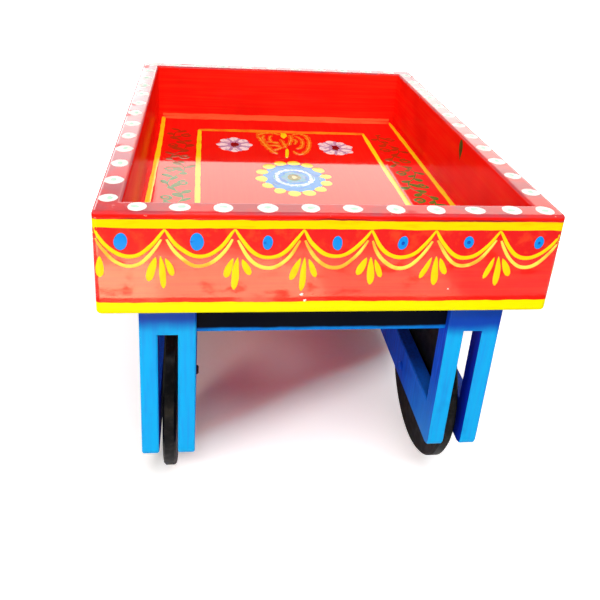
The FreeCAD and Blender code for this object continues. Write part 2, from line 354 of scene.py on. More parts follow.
class Brush:
    """Lays strokes and dabs of paint on one flat face, as low closed ridges in a single mesh."""

    def __init__(self, place, seed):
        self.mesh = bmesh.new()
        self.place = place
        self.random = random.Random(seed)

    def _corner(self, u, v, lift):
        return self.mesh.verts.new(self.place(u, v, lift))

    def _ring(self, u, v, way, half, height):
        turns = [math.pi * k / 3 for k in range(6)]
        return [self._corner(u - way[1] * math.cos(turn) * half, v + way[0] * math.cos(turn) * half,
                             math.sin(turn) * height) for turn in turns]

    def _skin(self, rings, closed, slot):
        pairs = list(zip(rings, rings[1:])) + ([(rings[-1], rings[0])] if closed else [])
        for one, two in pairs:
            for i in range(len(one)):
                j = (i + 1) % len(one)
                self.mesh.faces.new((one[i], one[j], two[j], two[i])).material_index = slot
        if not closed:
            for ring in (rings[0], rings[-1]):
                self.mesh.faces.new(ring).material_index = slot

    def stroke(self, points, width, height=0.14, slot=0, taper=(0.35, 0.35), closed=False, shake=0.12):
        """A stroke through points, u and v in millimetres, thinning at its two ends."""
        rings = []
        last = len(points) - 1
        for i, (u, v) in enumerate(points):
            way = heading(points, i, closed)
            share = 1.0 if closed else min(
                thin + (1 - thin) * math.sin(min(run * 5, 1) * math.pi / 2)
                for thin, run in zip(taper, (i / last, 1 - i / last)))
            half = width / 2 * share * (1 + self.random.uniform(-shake, shake))
            rings.append(self._ring(u, v, way, half, height))
            if not closed and i in (0, last):
                # a round end, so that the stroke runs out on the face
                reach = -0.45 * half if i == 0 else 0.45 * half
                tip = self._ring(u + way[0] * reach, v + way[1] * reach, way, 0.45 * half, 0.2 * height)
                rings.insert(0 if i == 0 else len(rings), tip)
        self._skin(rings, closed, slot)

    def dab(self, u, v, across, along, height=0.2, slot=0, shake=0.06, sides=20):
        """An oval dab with a flat top and an uneven edge, from half its width and half its length."""
        waves = [(self.random.uniform(0, 6.28), n, self.random.uniform(0.3, 1) * shake) for n in (2, 3, 5)]
        rings = []
        for share, lift in ((0.9, -0.6), (1.0, 0.0), (0.93, 0.7), (0.7, 1.0)):
            ring = []
            for k in range(sides):
                angle = 2 * math.pi * k / sides
                reach = share * (1 + sum(a * math.sin(n * angle + p) for p, n, a in waves))
                ring.append(self._corner(u + across * reach * math.cos(angle),
                                         v + along * reach * math.sin(angle), lift * height))
            rings.append(ring)
        self._skin(rings, False, slot)

    def petal(self, points, width, height):
        """A teardrop pressed out with a loaded brush: a thin tail that swells to a round end."""
        fullest = 0.65
        rings = []
        for i, (u, v) in enumerate(points):
            along = i / (len(points) - 1)
            if along < fullest:
                share = 0.1 + 0.9 * math.sin(along / fullest * math.pi / 2) ** 1.3
            else:
                share = math.sqrt(max(1 - ((along - fullest) / (1 - fullest)) ** 2, 0.02))
            way = heading(points, i)
            rings.append(self._ring(u, v, way, width / 2 * share, height * (0.4 + 0.6 * share)))
        self._skin(rings, False, 0)

    def finish(self, name, *materials):
        """The strokes as one object, faces outwards."""
        bmesh.ops.recalc_face_normals(self.mesh, faces=self.mesh.faces)
        return settle(name, plain_mesh(name, self.mesh, materials))


def plain_mesh(name, shape, materials):
    """A bmesh made into a mesh with these materials."""
    mesh = bpy.data.meshes.new(name)
    shape.to_mesh(mesh)
    shape.free()
    for material in materials:
        mesh.materials.append(material)
    return mesh


def settle(name, mesh):
    """Put a finished mesh in the scene, smooth but for the strokes' edges, riding with the cart's body."""
    mesh.shade_smooth()
    mesh.set_sharp_from_angle(angle=math.radians(40))
    piece = bpy.data.objects.new(name, mesh)
    bpy.context.scene.collection.objects.link(piece)
    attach(piece, "chassis")
    return piece


def joint_filling(name, paint):
    """Paint that has filled the joints between the posts and the blocks, all but flush with their ends."""
    shape = bmesh.new()
    # the posts' edges are eased and the blocks' are sharp, so that each joint is a groove
    eased_by, over, gap, skin = 0.6 * MM, 0.2 * MM, 0.05 * MM, 0.02 * MM
    width, depth = eased_by + over, 0.5 * MM
    low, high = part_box("top_block_front_right")[0][2] + gap, TRAY_FOOT - gap
    face = -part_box("post_front_right_inner")[0][1] + skin
    size = Matrix.Diagonal((width, depth, high - low, 1.0))
    for end in (-1, 1):
        for side in (-1, 1):
            for seam, way in ((SLOT_INNER, -1), (SLOT_OUTER, 1)):
                middle = (side * (seam + way * eased_by / 2), end * (face - depth / 2), (low + high) / 2)
                bmesh.ops.create_cube(shape, size=1.0, matrix=Matrix.Translation(middle) @ size)
    return plain_mesh(name, shape, [paint])


def on_floor(u, v, lift):
    """A point on the tray's floor, from millimetres across and along; paint lies thin there."""
    return Vector((u * MM, v * MM, FLOOR_TOP + lift * MM * 0.25))


def floor_place(u, v=0.0):
    """The place of a tree's result on the tray's floor, from millimetres across and along it."""
    return Matrix.Translation((u * MM, v * MM, FLOOR_TOP))


def eased(points, steps=5):
    """The given points joined by a smooth curve that passes through each of them."""
    path = []
    for i in range(len(points) - 1):
        before, start = points[max(i - 1, 0)], points[i]
        end, after = points[i + 1], points[min(i + 2, len(points) - 1)]
        for t in (k / steps for k in range(steps)):
            path.append(tuple(
                b + t * (c - a + t * (2 * a - 5 * b + 4 * c - d + t * (3 * b - a - 3 * c + d))) / 2
                for a, b, c, d in zip(before, start, end, after)))
    return path + [points[-1]]


def bow(start, middle, end, points=14):
    """Points of a smooth curve that leaves start, leans towards middle and arrives at end."""
    return [tuple((1 - t) ** 2 * a + 2 * t * (1 - t) * b + t * t * c for a, b, c in zip(start, middle, end))
            for t in (i / (points - 1) for i in range(points))]


# ---------------------------------------------------------------- brushwork by rule

def worded(label):
    """A value's name in the script as the name that a user reads."""
    return label.replace("_", " ").title()


def new_tree(name, **inputs):
    """An empty Geometry Nodes tree with named inputs, a whole number where the default is one."""
    tree = bpy.data.node_groups.new(name, "GeometryNodeTree")
    for label, value in inputs.items():
        kind = "NodeSocketInt" if isinstance(value, int) else "NodeSocketFloat"
        tree.interface.new_socket(worded(label), in_out="INPUT", socket_type=kind).default_value = value
    tree.interface.new_socket("Geometry", in_out="OUTPUT", socket_type="NodeSocketGeometry")
    given = tree.nodes.new("NodeGroupInput").outputs
    return tree, SimpleNamespace(**{label: Field(given[worded(label)]) for label in inputs})


def position(tree):
    """Each point's place, in its three parts."""
    return parts(tree, "GeometryNodeInputPosition", 0)


def moved(geometry, **how):
    """Geometry with every point put at a new Position, or shifted by an Offset."""
    return add(geometry.tree, "GeometryNodeSetPosition", {"Geometry": geometry, **how})


def bead(curve, thickness, proud, axis, share=1.0):
    """A flat bead of paint along a curve: thickness across, and proud above the face.

    It is a round tube, pressed down along the axis that points off the face.
    """
    half = thickness * 0.5
    ring = add(curve.tree, "GeometryNodeCurvePrimitiveCircle", {"Resolution": 8, "Radius": half})
    tube = add(curve.tree, "GeometryNodeCurveToMesh", {
        "Curve": curve, "Profile Curve": ring, "Scale": share, "Fill Caps": True})
    place = position(curve.tree)
    place[axis] *= proud / half
    return moved(tube, Position=vector(*place))


def line_of(count, start, step):
    """A row of points as a mesh."""
    return add(tree_of(count, start, step), "GeometryNodeMeshLine", {
        "Count": count, "Start Location": start, "Offset": step}, mode="OFFSET")


def row(points, unit, **each):
    """A unit repeated on points, with a Rotation and a Scale for each of them, made real."""
    laid = add(points.tree, "GeometryNodeInstanceOnPoints", {"Points": points, "Instance": unit, **each})
    return add(points.tree, "GeometryNodeRealizeInstances", {0: laid})


def chance(low, high, seed):
    """A different number, or vector, for each point, from a fixed seed."""
    kind, first, out = ("FLOAT_VECTOR", 0, 0) if isinstance(low, tuple) else ("FLOAT", 2, 1)
    return add(seed.tree, "FunctionNodeRandomValue", {first: low, first + 1: high, "Seed": seed}, out,
               data_type=kind)


def unsteady(geometry, size, reach, axes, seed):
    """The small wander of a hand: a smooth shift of this reach over features of this size, in millimetres."""
    tree = geometry.tree
    place = add(tree, "GeometryNodeInputPosition") + vector(seed * 0.37, 0.0, 0.0)
    noise = add(tree, "ShaderNodeTexNoise", {
        "Vector": place, "Scale": 1 / (size * MM), "Detail": 1.0}, "Color")
    shift = (noise - (0.5, 0.5, 0.5)) * tuple(2 * a * reach * MM for a in axes)
    return moved(geometry, Offset=shift)


def coated(geometry, paint):
    """Geometry in one paint."""
    real = add(geometry.tree, "GeometryNodeRealizeInstances", {0: geometry})
    return add(geometry.tree, "GeometryNodeSetMaterial", {"Geometry": real, "Material": paint})


def end_tree(*painted):
    """Join the painted shapes and close their tree."""
    tree = painted[0].tree
    add(tree, "NodeGroupOutput", {0: add(tree, "GeometryNodeJoinGeometry", {0: list(painted)})})
    return tree


def round_blob(wide, long, proud, axis):
    """A low oval dome lying on a face; axis is the one that points off the face."""
    ball = add(wide.tree, "GeometryNodeMeshUVSphere", {"Segments": 20, "Rings": 8, "Radius": 1.0})
    scale = (wide, proud, long) if axis == 1 else (wide, long, proud)
    return moved(ball, Position=vector(*(part * size for part, size in zip(position(wide.tree), scale))))


def drop_unit(length, width, proud, axis):
    """A teardrop: a thin tail that swells and ends round, hanging down the face."""
    tree = length.tree
    steps = 11
    step = length / -steps
    towards = vector(0.0, 0.0, step) if axis == 1 else vector(0.0, step, 0.0)
    curve = add(tree, "GeometryNodeMeshToCurve", {0: line_of(steps + 1, (0.0, 0.0, 0.0), towards)})
    along = add(tree, "GeometryNodeSplineParameter", out="Factor")
    share = (along + 0.01) ** 0.75 * (1.005 - along) ** 0.42 * 2.05
    return bead(curve, width, proud, axis, share)


def festoon_tree(fill_paint, line_paint, oval_paint, pale_paint, core_paint):
    """Swags hung from a stripe: a filled curve, two lines below it, an oval in each and tassels between."""
    tree, given = new_tree(
        "festoon", span=28.5 * MM, count=7, top=41 * MM, upper_sag=13 * MM, lower_start=3.0 * MM,
        lower_sag=15.0 * MM, upper_line=1.9 * MM, lower_line=1.6 * MM, oval_width=2.35 * MM,
        oval_height=3.35 * MM, oval_level=35 * MM, drop_top=28.0 * MM, drop_length=15.5 * MM,
        drop_width=2.9 * MM, corner=2.5 * MM, proud=0.13 * MM, seed=3)
    span, proud, seed, corner = given.span, given.proud, given.seed, given.corner
    x, y, z = position(tree)
    half_span = span / 2.0
    half_run = half_span * given.count
    step = vector(span, 0.0, 0.0)
    middles = line_of(given.count, vector(half_span - half_run, 0.0, given.top), step)
    # 1 at the middle of a swag, nearly 0 at its ends
    hollow = calc("MAXIMUM", 1.0 - abs(x / half_span) ** 2.1, 0.02)

    # the deeper red behind each swag
    block = add(tree, "GeometryNodeMeshCube", {
        "Size": vector(span, 1.0, 1.0), "Vertices X": 25, "Vertices Y": 2, "Vertices Z": 4})
    hang = (z - 0.5) * given.upper_sag * hollow
    fill = row(middles, moved(block, Position=vector(x, y * (proud * 0.9), hang)))

    # the two hanging lines, fullest where the brush pressed
    def swag(sag, thickness, level, shrink, salt):
        """One line of paint in each swag; shrink is its share of the distance between two junctions."""
        steps = 24
        pitch = span * shrink / steps
        points = line_of(steps + 1, vector(pitch * (-steps / 2), 0.0, 0.0), vector(pitch, 0.0, 0.0))
        points = moved(points, Position=vector(x, 0.0, level - sag * hollow))
        curve = add(tree, "GeometryNodeMeshToCurve", {0: points})
        along = add(tree, "GeometryNodeSplineParameter", out="Factor")
        share = 0.55 + (1.0 - abs(along * 2.0 - 1.0) ** 4.0) * 0.5
        scale = chance((0.99, 0.9, 0.96), (1.0, 1.15, 1.04), seed + salt)
        return row(middles, bead(curve, thickness, proud, 1, share), Scale=scale)

    upper = swag(given.upper_sag, given.upper_line, 0.0, 1.0, 1)
    lower = swag(given.lower_sag, given.lower_line, -given.lower_start, 0.93, 2)

    # an oval in the middle of each swag, set wider apart towards the ends of the row
    shift = chance((-0.5 * MM, 0, -0.4 * MM), (0.5 * MM, 0, 0.4 * MM), seed + 3)
    places = moved(middles, Offset=shift + vector(x ** 3.0 * 6.0, 0.0, given.oval_level - given.top))
    lean = vector(0.0, chance(-0.1, 0.2, seed + 4), 0.0)
    # the first two of a row got the full brush
    loaded = add(tree, "GeometryNodeInputIndex") < 1.5
    size = chance((0.9, 1, 0.94), (1.06, 1, 1.08), seed + 5) + vector(loaded * 0.27, 0.0, loaded * 0.2)
    oval = round_blob(given.oval_width, given.oval_height, proud * 1.5, 1)
    ovals = row(places, oval, Rotation=lean, Scale=size)
    # a darker second touch in those of the row's later half
    core = round_blob(given.oval_width * 0.42, given.oval_height * 0.36, proud * 1.8, 1)
    late = add(tree, "GeometryNodeSeparateGeometry", {"Geometry": places, "Selection": x > 22 * MM},
               domain="POINT")
    cores = row(late, core, Rotation=lean, Scale=size)

    # three drops at each junction, and one at the corner where the row starts
    def tassel(aside, below, shorter, leaning, salt):
        """One drop of each tassel: how far aside and below it is, its share of the length, and its lean."""
        points = line_of(given.count, vector(-half_run, 0.0, given.drop_top - below), step)
        most = half_run - 2.3 * MM
        # the tassels stray back where the row starts, and onwards after that
        astray = x + ramp(x, -75 * MM, -40 * MM, aside - 1.6 * MM, aside + 1.4 * MM)
        held = calc("MINIMUM", calc("MAXIMUM", astray, -most), most)
        points = moved(points, Position=vector(held, 0.0, z))
        turn = vector(0.0, leaning + chance(-0.07, 0.07, seed + salt), 0.0)
        # a corner's drop is short and broad, and alone
        inner = abs(x) < half_run - 4.0 * MM
        squat = (1.0 - inner) * 0.3
        size = chance((0.85, 1, 0.88), (1.2, 1, 1.1), seed + (salt + 1))
        size *= vector(1.0 + squat, 1.0, 1.0 - squat)
        if leaning:
            points = add(tree, "GeometryNodeSeparateGeometry", {"Geometry": points, "Selection": inner},
                         domain="POINT")
        unit = drop_unit(given.drop_length * shorter, given.drop_width, proud * 1.2, 1)
        return row(points, unit, Rotation=turn, Scale=size)

    drops = [tassel(0.0, 0.0, 1.0, 0.0, 6), tassel(-1.9 * MM, 0.4 * MM, 0.68, 0.30, 8),
             tassel(1.9 * MM, 1.0 * MM, 0.62, -0.38, 10)]

    def wrapped(geometry):
        """Wandered by the hand, and carried round the tray's rounded corners."""
        edge = half_run + MARGIN
        over = calc("MAXIMUM", abs(x) - (edge - corner), 0.0)
        over = calc("MINIMUM", over, corner * 0.92)
        back = corner - calc("SQRT", corner ** 2.0 - over ** 2.0)
        held = calc("MINIMUM", abs(x), edge - 0.2 * MM) * calc("SIGN", x)
        steady = unsteady(geometry, 13.0, 0.75, (1, 0, 1), seed)
        return moved(steady, Position=vector(held, y + back, z))

    lines = add(tree, "GeometryNodeJoinGeometry", {0: [upper, *drops]})
    return end_tree(*(coated(wrapped(shape), paint) for shape, paint in (
        (fill, fill_paint), (lines, line_paint), (lower, pale_paint), (ovals, oval_paint),
        (cores, core_paint))))


def rim_dots_tree(dot_paint, heart_paint):
    """Oval dots on the centre line of the tray's rim, each with a paler middle."""
    tree, given = new_tree(
        "rim_dots", half_width=94.5 * MM, half_length=122 * MM, short_count=11, long_count=12,
        lead=11.8 * MM, dot_length=4.4 * MM, dot_width=4.1 * MM, heart=0.5, crowding=3.0 * MM,
        proud=0.2 * MM, seed=5)
    seed, lead, half_width, half_length = given.seed, given.lead, given.half_width, given.half_length
    x, y, _ = position(tree)
    near = -half_length
    left = lead - half_width
    # what the painter left free at the far end of a short row and of a long one
    short_gap, long_gap = 1.9 * MM, 8.0 * MM
    short_run = half_width - left - short_gap
    first = near + lead * 1.72
    long_run = half_length - first - long_gap
    ends = line_of(given.short_count, vector(left, near, 0.0),
                   vector(short_run / (given.short_count - 1.0), 0.0, 0.0))
    sides = line_of(given.long_count, vector(half_width, first, 0.0),
                    vector(0.0, long_run / (given.long_count - 1.0), 0.0))
    # the painter set the dots closer as they neared the far corner
    share = calc("MAXIMUM", (x - left) / short_run, 0.0)
    gather = given.crowding * calc("SINE", share ** 2.2 * math.pi)
    ends = moved(ends, Position=vector(x + gather, y, 0.0))

    def group(salt, wide, long, proud, wander):
        """Half the dots, one short side and one long, and the same again turned half round."""
        unit = round_blob(wide, long, proud, 2)
        reach = wander * MM
        halves = []
        for turn, more in ((0.0, 0), (math.pi, 3)):
            for points, facing, most in ((ends, 0.0, 0), (sides, math.pi / 2, 15)):
                step = salt + more + most
                shift = chance((-reach, -reach, 0), (reach, reach, 0), seed + step)
                askew = vector(0.0, 0.0, facing + chance(-0.15, 0.15, seed + (step + 1)))
                size = chance((0.9, 0.9, 1), (1.1, 1.08, 1), seed + (step + 2))
                laid = row(moved(points, Offset=shift), unit, Rotation=askew, Scale=size)
                halves.append(add(tree, "GeometryNodeTransform", {
                    "Geometry": laid, "Rotation": (0.0, 0.0, turn)}))
        return add(tree, "GeometryNodeJoinGeometry", {0: halves})

    dots = group(1, given.dot_length, given.dot_width, given.proud, 0.35)
    hearts = group(40, given.dot_length * given.heart, given.dot_width * (given.heart * 0.75),
                   given.proud * 1.35, 0.5)
    return end_tree(coated(unsteady(dots, 4.0, 0.45, (1, 1, 0), seed), dot_paint),
                    coated(unsteady(hearts, 2.5, 0.7, (1, 1, 0), seed), heart_paint))


def petal_ring_tree(paint):
    """Petals set out evenly round an oval."""
    tree, given = new_tree("petal_ring", count=13, ring_width=20 * MM, ring_length=23.5 * MM,
                           petal_length=3.8 * MM, petal_width=3.0 * MM, proud=0.16 * MM, start=0.1, seed=2)
    x, y, _ = position(tree)
    ring = add(tree, "GeometryNodeMeshCircle", {"Vertices": given.count, "Radius": 1.0})
    ring = add(tree, "GeometryNodeTransform", {"Geometry": ring, "Rotation": vector(0.0, 0.0, given.start)})
    ring = moved(ring, Position=vector(x * given.ring_width, y * given.ring_length, 0.0))
    outwards = add(tree, "FunctionNodeAlignRotationToVector", {
        "Vector": add(tree, "GeometryNodeInputPosition")}, axis="X")
    size = chance((0.85, 0.85, 1), (1.12, 1.12, 1), given.seed)
    unit = round_blob(given.petal_length, given.petal_width, given.proud, 2)
    petals = row(ring, unit, Rotation=outwards, Scale=size)
    return end_tree(coated(unsteady(petals, 5.0, 0.5, (1, 1, 0), given.seed), paint))


def vine_tree(paint):
    """A running vine: a waving stem with leaves on both sides and a curl in each hollow."""
    tree, given = new_tree("vine", length=166 * MM, waves=4, swing=4.6 * MM, stem=0.9 * MM, leaf_count=36,
                           leaf_length=7.0 * MM, leaf_width=4.0 * MM, curl=3.7 * MM, proud=0.02 * MM, seed=4)
    seed, proud, length, waves = given.seed, given.proud, given.length, given.waves
    y = position(tree)[1]
    steps = waves * 24.0
    start = length / -2.0
    points = line_of(steps + 1.0, vector(0.0, start, 0.0), vector(0.0, length / steps, 0.0))
    wave = calc("SINE", (y - start) * (waves * (2 * math.pi) / length)) * given.swing
    curve = add(tree, "GeometryNodeMeshToCurve", {0: moved(points, Position=vector(wave, y, 0.0))})
    stem = bead(curve, given.stem, proud, 2)
    # leaves, left and right in turn
    spots = add(tree, "GeometryNodeResampleCurve", {"Curve": curve, "Count": given.leaf_count})
    odd = add(tree, "GeometryNodeInputIndex") % 2.0
    side = odd * 2.0 - 1.0
    lean = math.pi + side * chance(0.6, 1.25, seed)
    size = chance((0.7, 0.65, 1), (1.25, 1.2, 1), seed + 1)
    leaf = drop_unit(given.leaf_length, given.leaf_width, proud * 1.1, 2)
    leaves = row(spots, leaf, Rotation=vector(0.0, 0.0, lean), Scale=size)
    # a curl in each hollow of the wave
    curl = add(tree, "GeometryNodeCurveSpiral", {
        "Resolution": 14, "Rotations": 1.3, "Start Radius": given.curl * 0.25, "End Radius": given.curl,
        "Height": 0.0})
    ringlet = bead(curl, given.stem * 2.0, proud, 2)
    hollows = waves * 2.0
    half_wave = length / hollows
    marks = line_of(hollows, vector(0.0, start + half_wave * 0.5, 0.0), vector(0.0, half_wave, 0.0))
    marks = moved(marks, Position=vector(side * given.swing, y, 0.0))
    curls = row(marks, ringlet, Rotation=vector(0.0, 0.0, odd * math.pi))
    vine = add(tree, "GeometryNodeJoinGeometry", {0: [stem, leaves, curls]})
    return end_tree(coated(unsteady(vine, 11.0, 1.4, (1, 1, 0), seed), paint))


def grown(name, tree, place, **sizes):
    """Run a tree with these inputs and keep its result as a plain mesh, put in its place."""
    holder = bpy.data.objects.new(name, bpy.data.meshes.new(name))
    bpy.context.scene.collection.objects.link(holder)
    modifier = holder.modifiers.new("Nodes", "NODES")
    modifier.node_group = tree
    sockets = {item.name: item.identifier for item in tree.interface.items_tree if item.in_out == "INPUT"}
    for label, value in sizes.items():
        modifier[sockets[worded(label)]] = value
    graph = bpy.context.evaluated_depsgraph_get()
    mesh = bpy.data.meshes.new_from_object(holder.evaluated_get(graph), depsgraph=graph)
    bpy.data.objects.remove(holder)
    mesh.name = name
    mesh.transform(place)
    return mesh


def lay(name, tree, place, **sizes):
    """Grow a piece of brushwork and put it in the scene."""
    settle(name, grown(name, tree, place, **sizes))


def joined_mesh(name, meshes):
    """Several meshes put together as one, each face keeping its paint."""
    work = bmesh.new()
    coats = []
    for mesh in meshes:
        first = len(work.faces)
        work.from_mesh(mesh)
        work.faces.ensure_lookup_table()
        for face in work.faces[first:]:
            coat = mesh.materials[face.material_index]
            if coat not in coats:
                coats.append(coat)
            face.material_index = coats.index(coat)
        bpy.data.meshes.remove(mesh)
    return plain_mesh(name, work, coats)


# ---------------------------------------------------------------- sizes and colours

def colour_property(name, description, value):
    """A colour that a user may change, kept as written."""
    shares = [int(value[i:i + 2], 16) / 255 for i in (1, 3, 5)]
    return FloatVectorProperty(name=name, description=description, default=shares, size=3,
                               subtype="COLOR_GAMMA", min=0, max=1)


def length_property(name, description, value):
    """A length that a user may change, given in millimetres."""
    return FloatProperty(name=name, description=description, default=value * MM, unit="LENGTH")


def count_property(name, description, value, least):
    """A number of things that a user may change."""
    return IntProperty(name=name, description=description, default=value, min=least)


class CartColours(bpy.types.PropertyGroup):
    """The paints."""
    red: colour_property("Red", "Gloss red of the tray", "#ff1a10")
    thin_red: colour_property("Thin Red", "Red where the brush spread it thin", "#ff2c16")
    deep_red: colour_property("Deep Red", "Red where it pooled", "#ea100c")
    # the rose red of the rim's top
    rim_red: colour_property("Rim Red", "Duller red of the handled rim", "#bc4a54")
    # painted shade under the rim's rounded edge
    rim_shade_red: colour_property("Dark Red", "Dark line along the stripe", "#8c0d0c")
    swag_red: colour_property("Swag Red", "Crimson behind the swags", "#ee1a1c")
    yellow: colour_property("Yellow", "Yellow of stripes and swags", "#ffdf04")
    pale_yellow: colour_property("Pale Yellow", "Yellow of the lower swag lines", "#fbee5c")
    thin_yellow: colour_property("Thin Yellow", "Yellow with the red showing through", "#ffc004")
    lemon: colour_property("Lemon", "A greener yellow on the lower stripe", "#fdfa04")
    # the end faces' painted lit blue, and below it the sides' painted shaded blue
    blue: colour_property("Frame Blue", "Sky blue of the boards' ends", "#10b2f8")
    thin_blue: colour_property("Thin Frame Blue", "Blue where it is thin", "#1c9ef2")
    shaded_side_blue: colour_property("Side Blue", "Deeper blue of the boards' sides", "#0c54e0")
    # painted shade inside the slots
    slot_shade_blue: colour_property("Slot Blue", "Dark first coat inside the slots", "#06129e")
    # where the paint pooled, and also the painted shadow of the tray at the posts' tops
    pooled_and_shadow_blue: colour_property("Deep Frame Blue", "Blue where it pooled", "#0a3cbc")
    # painted light low on the inner posts
    lit_foot_blue: colour_property("Foot Blue", "Lighter blue low on the inner posts", "#2086e4")
    # the crossbars' painted shadow
    bar_shadow_navy: colour_property("Navy", "Navy of the crossbars", "#050b1c")
    oval_blue: colour_property("Oval Blue", "Blue of the ovals", "#0892f2")
    rosette_blue: colour_property("Rosette Blue", "Blue of the rosette", "#2a9cf0")
    amber: colour_property("Amber", "Thin yellow of the lines across the floor", "#ffa222")
    coral: colour_property("Coral", "Orange of the outer lines' ends", "#ff6e3c")
    white: colour_property("White", "White of the dots", "#fbfbf4")
    mint: colour_property("Mint", "Pale green heart of the dots", "#c3ecd0")
    green: colour_property("Green", "Leaf green of the vines", "#2f7d1e")
    orange: colour_property("Orange", "Orange of the scrolls", "#ffa61c")
    lilac: colour_property("Lilac", "Lilac of the flowers", "#c3a6cc")
    maroon: colour_property("Maroon", "Dark heart of the flowers", "#5d0f16")
    olive: colour_property("Olive", "Olive ring of the rosette", "#74762a")
    black: colour_property("Wheel Black", "Black of the wheels", "#0f1011")
    dusty_black: colour_property("Dusty Black", "Black under dust", "#1a1c1d")
    worn_black: colour_property("Worn Black", "Rubbed tread", "#2c2927")
    pin: colour_property("Pin", "Stained dowel", "#2a1d16")
    pin_grain: colour_property("Pin Grain", "Grain of the dowel", "#4a3427")
    bare_wood: colour_property("Bare Wood", "Wood under knocked paint", "#e6cfae")


class CartSizes(bpy.types.PropertyGroup):
    """The sizes of the brushwork."""
    short_swags: count_property("Short Side Swags", "Swags on each short side", 7, 1)
    long_swags: count_property("Long Side Swags", "Swags on each long side", 9, 1)
    swag_top: length_property("Swag Top", "Height of the junctions above the tray's foot", 41.0)
    swag_sag: length_property("Swag Sag", "How far the upper line hangs", 13.0)
    line_proud: length_property("Paint Thickness", "How far a stroke stands off the face", 0.13)
    short_dots: count_property("Short Side Dots", "Dots on each short rim", 11, 2)
    long_dots: count_property("Long Side Dots", "Dots on each long rim", 12, 3)
    dot_length: length_property("Dot Length", "Half the length of a dot along the rim", 4.4)
    line_width: length_property("Floor Line", "Width of the yellow lines on the floor", 3.0)
    vine_waves: count_property("Vine Waves", "Waves of each vine", 4, 1)


def paints(*names):
    """The named enamels of the brushwork; all are mixed at the first call and then shared.

    A recipe: the colour, the colour where it is thin, the size of the thin patches, how they set in, how thin
    they get, whether it is varnished, and the colour it fades to.
    """
    colours = bpy.context.scene.tray_cart_colours
    recipes = {
        "yellow_enamel": (colours.yellow, colours.thin_yellow, 5.0, (0.55, 0.85), 0.6),
        "pale_enamel": (colours.pale_yellow, "#f8b430", 16.0, (0.44, 0.6), 0.85),
        "core_enamel": ("#0b48b4", "#0a5cd0", 3.0, (0.4, 0.7), 0.8),
        "crimson_enamel": (colours.swag_red, "#fb4a22", 5.0, (0.45, 0.75), 0.75),
        "blue_enamel": (colours.oval_blue, "#0a4fc4", 4.0, (0.58, 0.72), 0.8),
        "white_enamel": (colours.white, "#f0e3dc", 5.0, (0.5, 0.8), 0.8),
        "mint_enamel": (colours.mint, "#e2f6e6", 2.5, (0.4, 0.7), 0.8),
        "varnished_yellow": ("#fff01c", "#ffd410", 7.0, (0.5, 0.8), 0.8, True),
        "varnished_amber": (colours.amber, "#ff6a1c", 9.0, (0.42, 0.7), 0.8, True),
        "varnished_coral": (colours.coral, "#fb4a24", 20.0, (0.42, 0.62), 0.6, True),
        "varnished_blue": (colours.rosette_blue, "#1a5fd0", 6.0, (0.45, 0.75), 0.7, True),
        "varnished_white": ("#e4fafa", "#86c6ea", 2.4, (0.45, 0.64), 0.8, True),
        "petal_white": ("#fff6f4", "#b89cbc", 3.0, (0.5, 0.64), 0.75, True),
        "varnished_green": (colours.green, "#6a6a10", 5.0, (0.42, 0.66), 0.6, True, "#b41c0e"),
        "run_green": ("#3a5a16", "#4a3c0c", 3.0, (0.4, 0.6), 0.9),
        "varnished_orange": (colours.orange, "#fb4612", 1.7, (0.34, 0.54), 0.9, True),
        "varnished_gold": ("#ffc23c", "#ff8a24", 1.8, (0.42, 0.6), 0.8, True),
        "varnished_lilac": (colours.lilac, "#a98fae", 2.2, (0.4, 0.65), 0.9, True),
        "varnished_maroon": (colours.maroon, "#8c1a22", 2.0, (0.5, 0.7), 0.6, True),
        "varnished_olive": (colours.olive, "#b8ad6a", 2.0, (0.4, 0.7), 0.7, True),
        "varnished_teal": ("#46b4c8", "#8a9fe0", 3.0, (0.4, 0.7), 0.9, True),
        "varnished_cream": ("#f0e2a8", "#c8b45c", 2.0, (0.4, 0.7), 0.6, True),
    }
    for name, recipe in recipes.items():
        if name not in bpy.data.materials:
            enamel(name, *recipe)
    return [bpy.data.materials[name] for name in names]


# ---------------------------------------------------------------- operators

class CART_OT_lacquer(bpy.types.Operator):
    """Give every wooden part of the cart its own paint"""
    bl_idname = "tray_cart.lacquer"
    bl_label = "Lacquer the Parts"

    def execute(self, context):
        colours = context.scene.tray_cart_colours
        bar_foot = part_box("crossbar_front")[0][2]
        painted_over = frame_lacquer("painted_over_dowel", colours, lit_end_faces=False)
        frames = frame_lacquer("sky_blue_lacquer", colours)
        # the first entry that a part's name starts with is its paint
        finishes = (("tray_wall", tray_lacquer("striped_red_lacquer", colours, True)),
                    ("tray_floor", tray_lacquer("plain_red_lacquer", colours, False)),
                    ("wheel", wheel_lacquer("black_wheel_lacquer", colours)),
                    ("axle_front_right", painted_over),
                    ("axle_back_left", painted_over),
                    ("axle", pin_finish("stained_dowel", colours)),
                    ("crossbar", frame_lacquer("shadowed_bar_lacquer", colours, bar_foot)),
                    ("", frames))
        for name, node in NODES.items():
            if not node.material_slots:
                raise RuntimeError(f"{name} has no material slot")
            paint = next(finish for start, finish in finishes if name.startswith(start))
            for slot in node.material_slots:
                slot.material = paint
        settle("joint_filling", joint_filling("joint_filling", frames))
        return {"FINISHED"}


